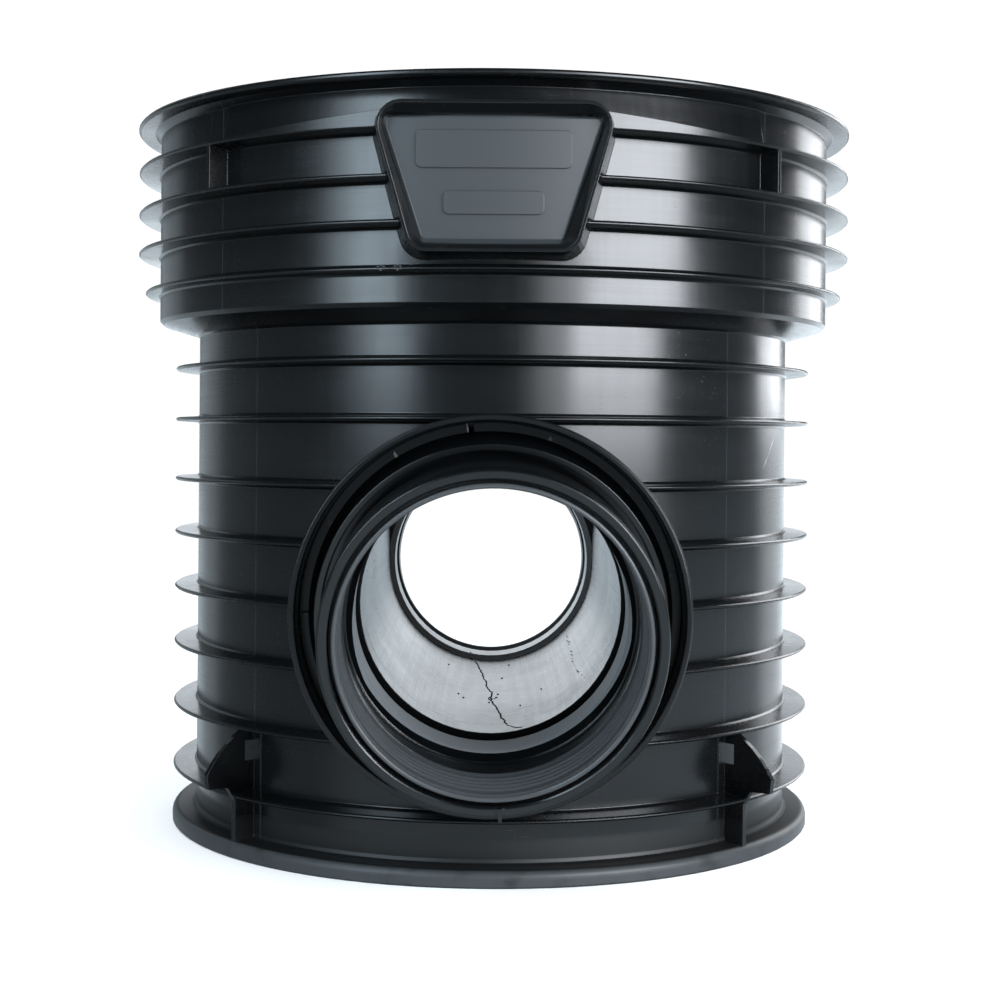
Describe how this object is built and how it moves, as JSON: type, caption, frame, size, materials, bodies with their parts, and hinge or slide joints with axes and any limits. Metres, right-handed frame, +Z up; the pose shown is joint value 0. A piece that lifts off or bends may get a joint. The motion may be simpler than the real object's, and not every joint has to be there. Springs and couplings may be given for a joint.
{
  "type": "drain inspection chamber base",
  "caption": "Ribbed black plastic drain inspection chamber base with an open riser socket and swivelling pipe sockets on a straight flow channel.",
  "frame": {"origin": "centre of the chamber's base, on its upright axis", "axes": "+Z up along the riser socket; pipes along Y; the name plate faces -Y and both pipe sockets droop outwards; +X to the right seen from the front"},
  "size_m": [0.4856, 0.6539, 0.464],
  "materials": {
    "chamber_plastic": "satin black moulded polypropylene with a cool grey sheen",
    "socket_plastic": "satin black moulded polypropylene, smooth inside",
    "ring_plastic": "glossier black moulded polypropylene",
    "seal_rubber": "smooth black rubber with fine sealing ridges"
  },
  "bodies": {
    "chamber": {"chamber_body": "chamber_plastic", "front_retaining_ring": "ring_plastic", "rear_retaining_ring": "ring_plastic"},
    "front_swivel": {"front_ball_seal": "seal_rubber"},
    "front_socket": {"front_pipe_socket": "socket_plastic", "front_pipe_seal": "seal_rubber", "front_seal_cap": "ring_plastic"},
    "rear_swivel": {"rear_ball_seal": "seal_rubber"},
    "rear_socket": {"rear_pipe_socket": "socket_plastic", "rear_pipe_seal": "seal_rubber", "rear_seal_cap": "ring_plastic"}
  },
  "joints": [
    {"name": "front_swing", "type": "hinge", "parent": "chamber", "child": "front_swivel", "pos_m": [0, -0.224, 0.1614], "axis": [0, 0, 1], "range_deg": [-8.5, 6.5]},
    {"name": "front_tilt", "type": "hinge", "parent": "front_swivel", "child": "front_socket", "pos_m": [0, -0.224, 0.1614], "axis": [0.9998, 0.0175, 0], "range_deg": [-13.5, 1.5]},
    {"name": "rear_swing", "type": "hinge", "parent": "chamber", "child": "rear_swivel", "pos_m": [0, 0.224, 0.1614], "axis": [0, 0, 1], "range_deg": [-7.5, 7.5]},
    {"name": "rear_tilt", "type": "hinge", "parent": "rear_swivel", "child": "rear_socket", "pos_m": [0, 0.224, 0.1614], "axis": [1, 0, 0], "range_deg": [-1.5, 13.5]}
  ]
}
